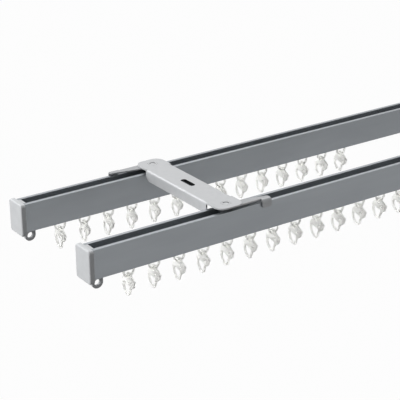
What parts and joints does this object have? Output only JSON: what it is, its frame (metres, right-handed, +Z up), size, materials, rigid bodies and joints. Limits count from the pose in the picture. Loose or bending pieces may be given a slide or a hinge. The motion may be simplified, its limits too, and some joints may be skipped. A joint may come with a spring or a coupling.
{
  "type": "double curtain track",
  "caption": "Double ceiling curtain track: two aluminium box rails on pressed steel brackets with turn-lock levers, sliding runners with curtain hooks, and end caps with eyes",
  "frame": {"origin": "the centre of the left bracket's screw slot, on the face that meets the ceiling", "axes": "+X along the rails to the right, +Y from the room side to the window side, +Z up into the ceiling"},
  "size_m": [0.7, 0.1438, 0.0613],
  "materials": {
    "anodised_aluminium": "extruded, satin anodised",
    "grey_plastic": "moulded, light grey, fine matt",
    "bright_zinc_steel": "pressed sheet, bright zinc",
    "lock_plastic": "moulded, dark grey",
    "rivet_steel": "formed rivet",
    "white_nylon": "moulded, translucent white"
  },
  "bodies": {
    "track": {"front_rail": "anodised_aluminium", "front_left_cap": "grey_plastic", "front_right_cap": "grey_plastic", "rear_rail": "anodised_aluminium", "rear_left_cap": "grey_plastic", "rear_right_cap": "grey_plastic", "left_bracket": "bright_zinc_steel", "right_bracket": "bright_zinc_steel", "rivets": "rivet_steel"},
    "left_front_lever": {"left_front_lever": "bright_zinc_steel", "left_front_lock_key": "lock_plastic"},
    "left_rear_lever": {"left_rear_lever": "bright_zinc_steel", "left_rear_lock_key": "lock_plastic"},
    "right_front_lever": {"right_front_lever": "bright_zinc_steel", "right_front_lock_key": "lock_plastic"},
    "right_rear_lever": {"right_rear_lever": "bright_zinc_steel", "right_rear_lock_key": "lock_plastic"},
    "front_runner_01": {"front_runner_01": "white_nylon"},
    "front_runner_02": {"front_runner_02": "white_nylon"},
    "front_runner_03": {"front_runner_03": "white_nylon"},
    "front_runner_04": {"front_runner_04": "white_nylon"},
    "front_runner_05": {"front_runner_05": "white_nylon"},
    "front_runner_06": {"front_runner_06": "white_nylon"},
    "front_runner_07": {"front_runner_07": "white_nylon"},
    "front_runner_08": {"front_runner_08": "white_nylon"},
    "front_runner_09": {"front_runner_09": "white_nylon"},
    "front_runner_10": {"front_runner_10": "white_nylon"},
    "front_runner_11": {"front_runner_11": "white_nylon"},
    "front_runner_12": {"front_runner_12": "white_nylon"},
    "front_runner_13": {"front_runner_13": "white_nylon"},
    "front_runner_14": {"front_runner_14": "white_nylon"},
    "rear_runner_01": {"rear_runner_01": "white_nylon"},
    "rear_runner_02": {"rear_runner_02": "white_nylon"},
    "rear_runner_03": {"rear_runner_03": "white_nylon"},
    "rear_runner_04": {"rear_runner_04": "white_nylon"},
    "rear_runner_05": {"rear_runner_05": "white_nylon"},
    "rear_runner_06": {"rear_runner_06": "white_nylon"},
    "rear_runner_07": {"rear_runner_07": "white_nylon"},
    "rear_runner_08": {"rear_runner_08": "white_nylon"},
    "rear_runner_09": {"rear_runner_09": "white_nylon"},
    "rear_runner_10": {"rear_runner_10": "white_nylon"},
    "rear_runner_11": {"rear_runner_11": "white_nylon"},
    "rear_runner_12": {"rear_runner_12": "white_nylon"},
    "rear_runner_13": {"rear_runner_13": "white_nylon"},
    "rear_runner_14": {"rear_runner_14": "white_nylon"}
  },
  "joints": [
    {"name": "left_front_lever_turn", "type": "hinge", "parent": "track", "child": "left_front_lever", "pos_m": [0, -0.06, -0.005], "axis": [0, 0, -1], "range_deg": [0, 90]},
    {"name": "left_rear_lever_turn", "type": "hinge", "parent": "track", "child": "left_rear_lever", "pos_m": [0, 0.06, -0.005], "axis": [0, 0, -1], "range_deg": [0, 90]},
    {"name": "right_front_lever_turn", "type": "hinge", "parent": "track", "child": "right_front_lever", "pos_m": [0.406, -0.06, -0.005], "axis": [0, 0, -1], "range_deg": [0, 90]},
    {"name": "right_rear_lever_turn", "type": "hinge", "parent": "track", "child": "right_rear_lever", "pos_m": [0.406, 0.06, -0.005], "axis": [0, 0, -1], "range_deg": [0, 90]},
    {"name": "front_runner_01_slide", "type": "slide", "parent": "track", "child": "front_runner_01", "axis": [1, 0, 0], "range_m": [-0.0193, 0.0208]},
    {"name": "front_runner_02_slide", "type": "slide", "parent": "front_runner_01", "child": "front_runner_02", "axis": [1, 0, 0], "range_m": [-0.0136, 0.0208]},
    {"name": "front_runner_03_slide", "type": "slide", "parent": "front_runner_02", "child": "front_runner_03", "axis": [1, 0, 0], "range_m": [-0.0136, 0.0208]},
    {"name": "front_runner_04_slide", "type": "slide", "parent": "front_runner_03", "child": "front_runner_04", "axis": [1, 0, 0], "range_m": [-0.0136, 0.0208]},
    {"name": "front_runner_05_slide", "type": "slide", "parent": "front_runner_04", "child": "front_runner_05", "axis": [1, 0, 0], "range_m": [-0.0136, 0.0208]},
    {"name": "front_runner_06_slide", "type": "slide", "parent": "front_runner_05", "child": "front_runner_06", "axis": [1, 0, 0], "range_m": [-0.0136, 0.0208]},
    {"name": "front_runner_07_slide", "type": "slide", "parent": "front_runner_06", "child": "front_runner_07", "axis": [1, 0, 0], "range_m": [-0.0136, 0.0208]},
    {"name": "front_runner_08_slide", "type": "slide", "parent": "front_runner_07", "child": "front_runner_08", "axis": [1, 0, 0], "range_m": [-0.0136, 0.0208]},
    {"name": "front_runner_09_slide", "type": "slide", "parent": "front_runner_08", "child": "front_runner_09", "axis": [1, 0, 0], "range_m": [-0.0136, 0.0208]},
    {"name": "front_runner_10_slide", "type": "slide", "parent": "front_runner_09", "child": "front_runner_10", "axis": [1, 0, 0], "range_m": [-0.0136, 0.0208]},
    {"name": "front_runner_11_slide", "type": "slide", "parent": "front_runner_10", "child": "front_runner_11", "axis": [1, 0, 0], "range_m": [-0.0136, 0.0208]},
    {"name": "front_runner_12_slide", "type": "slide", "parent": "front_runner_11", "child": "front_runner_12", "axis": [1, 0, 0], "range_m": [-0.0136, 0.0208]},
    {"name": "front_runner_13_slide", "type": "slide", "parent": "front_runner_12", "child": "front_runner_13", "axis": [1, 0, 0], "range_m": [-0.0136, 0.0208]},
    {"name": "front_runner_14_slide", "type": "slide", "parent": "front_runner_13", "child": "front_runner_14", "axis": [1, 0, 0], "range_m": [-0.0136, 0.0208]},
    {"name": "rear_runner_01_slide", "type": "slide", "parent": "track", "child": "rear_runner_01", "axis": [1, 0, 0], "range_m": [-0.0193, 0.0208]},
    {"name": "rear_runner_02_slide", "type": "slide", "parent": "rear_runner_01", "child": "rear_runner_02", "axis": [1, 0, 0], "range_m": [-0.0136, 0.0208]},
    {"name": "rear_runner_03_slide", "type": "slide", "parent": "rear_runner_02", "child": "rear_runner_03", "axis": [1, 0, 0], "range_m": [-0.0136, 0.0208]},
    {"name": "rear_runner_04_slide", "type": "slide", "parent": "rear_runner_03", "child": "rear_runner_04", "axis": [1, 0, 0], "range_m": [-0.0136, 0.0208]},
    {"name": "rear_runner_05_slide", "type": "slide", "parent": "rear_runner_04", "child": "rear_runner_05", "axis": [1, 0, 0], "range_m": [-0.0136, 0.0208]},
    {"name": "rear_runner_06_slide", "type": "slide", "parent": "rear_runner_05", "child": "rear_runner_06", "axis": [1, 0, 0], "range_m": [-0.0136, 0.0208]},
    {"name": "rear_runner_07_slide", "type": "slide", "parent": "rear_runner_06", "child": "rear_runner_07", "axis": [1, 0, 0], "range_m": [-0.0136, 0.0208]},
    {"name": "rear_runner_08_slide", "type": "slide", "parent": "rear_runner_07", "child": "rear_runner_08", "axis": [1, 0, 0], "range_m": [-0.0136, 0.0208]},
    {"name": "rear_runner_09_slide", "type": "slide", "parent": "rear_runner_08", "child": "rear_runner_09", "axis": [1, 0, 0], "range_m": [-0.0136, 0.0208]},
    {"name": "rear_runner_10_slide", "type": "slide", "parent": "rear_runner_09", "child": "rear_runner_10", "axis": [1, 0, 0], "range_m": [-0.0136, 0.0208]},
    {"name": "rear_runner_11_slide", "type": "slide", "parent": "rear_runner_10", "child": "rear_runner_11", "axis": [1, 0, 0], "range_m": [-0.0136, 0.0208]},
    {"name": "rear_runner_12_slide", "type": "slide", "parent": "rear_runner_11", "child": "rear_runner_12", "axis": [1, 0, 0], "range_m": [-0.0136, 0.0208]},
    {"name": "rear_runner_13_slide", "type": "slide", "parent": "rear_runner_12", "child": "rear_runner_13", "axis": [1, 0, 0], "range_m": [-0.0136, 0.0208]},
    {"name": "rear_runner_14_slide", "type": "slide", "parent": "rear_runner_13", "child": "rear_runner_14", "axis": [1, 0, 0], "range_m": [-0.0136, 0.0208]}
  ]
}
